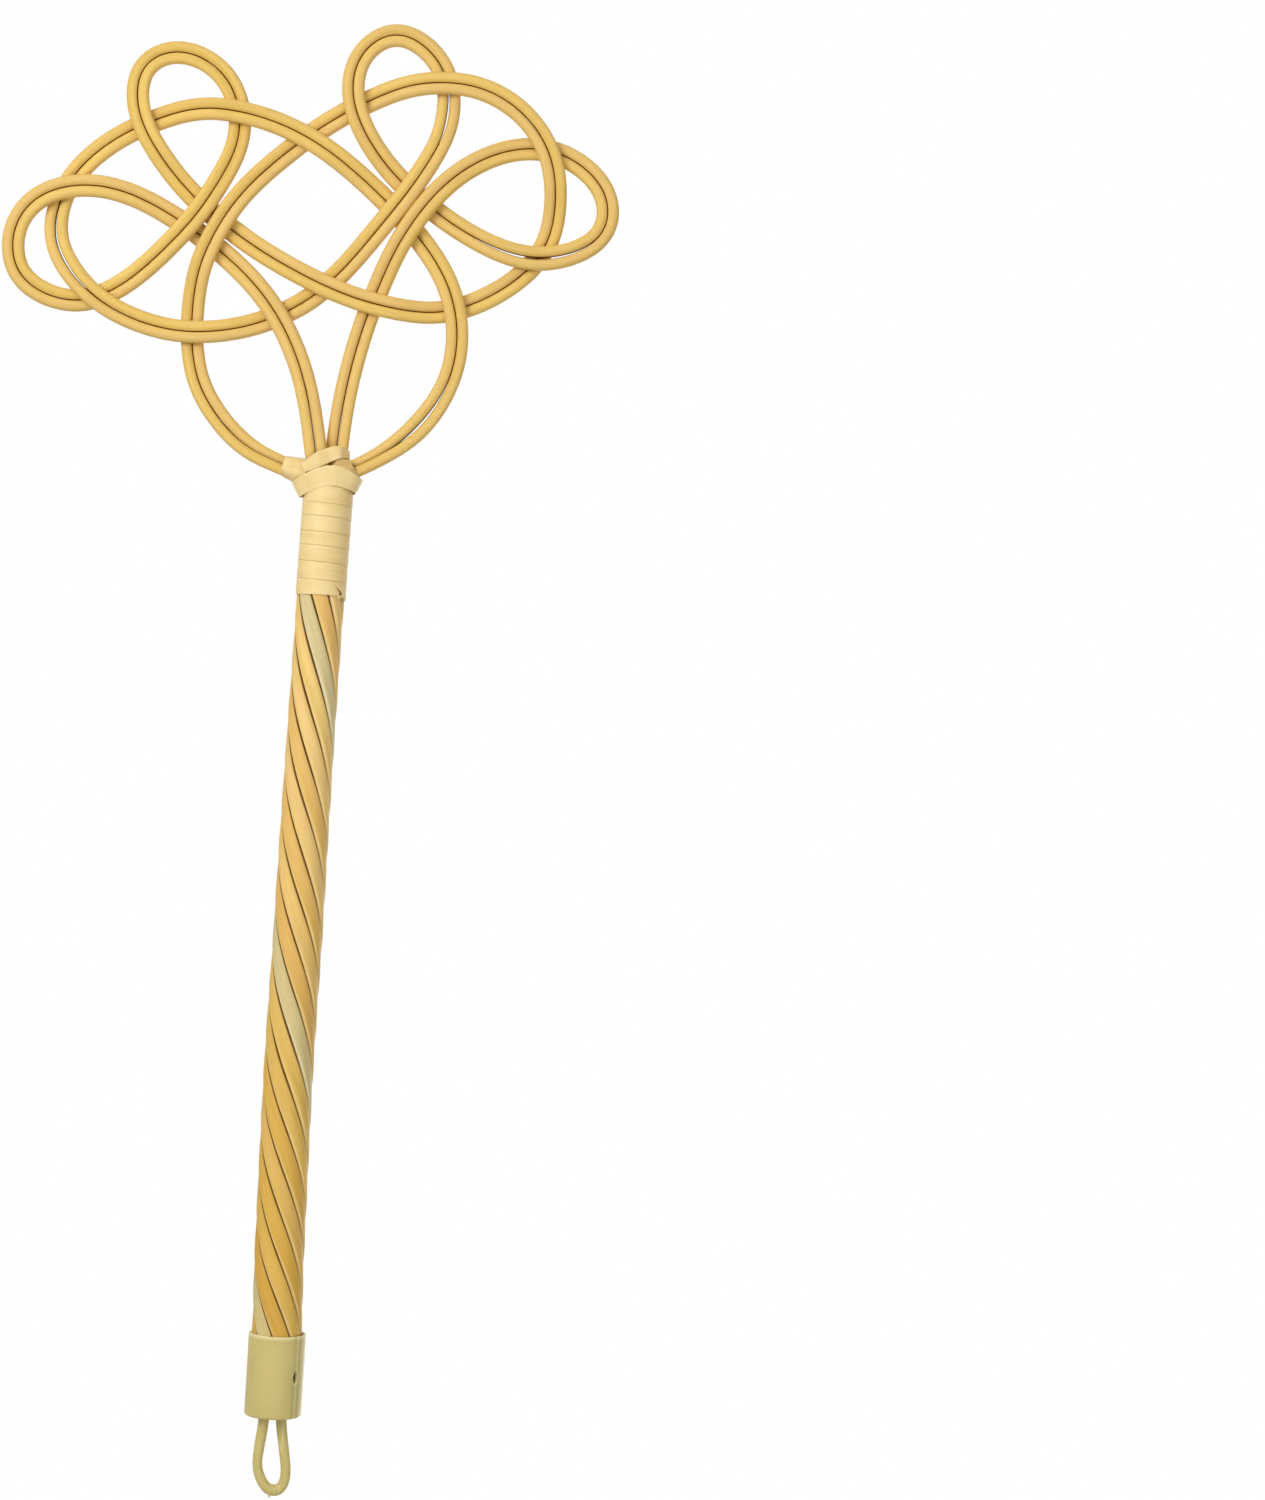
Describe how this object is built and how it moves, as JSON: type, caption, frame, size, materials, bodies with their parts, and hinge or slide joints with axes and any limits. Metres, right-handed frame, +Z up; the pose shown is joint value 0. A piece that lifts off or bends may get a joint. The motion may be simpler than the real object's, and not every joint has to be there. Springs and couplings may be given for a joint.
{
  "type": "carpet beater",
  "caption": "Carpet beater with a flat woven head of paired canes, a twisted cane handle, a bound neck and a capped end with a hanging loop.",
  "frame": {"origin": "where a hook bears, inside the top of the hanging loop", "axes": "+Z up along the handle with the head hanging below, -Y the front of the flat head, +X to the viewer's left when the head is held uppermost and seen from the front"},
  "size_m": [0.2915, 0.0316, 0.7018],
  "materials": {
    "cane": "satin peeled cane",
    "pale_cane": "satin pale cane",
    "core_wood": "plain turned wood",
    "strip": "glossy split cane",
    "cap": "slightly clear moulded plastic",
    "nail": "plain steel"
  },
  "bodies": {
    "root": {"left_outer_cane": "cane", "left_inner_cane": "cane", "right_outer_cane": "cane", "right_inner_cane": "cane", "filler_cane": "pale_cane", "handle_core": "core_wood", "neck_binding": "strip", "collar_lashing": "strip", "end_cap": "cap", "cap_nail": "nail"}
  },
  "joints": []
}
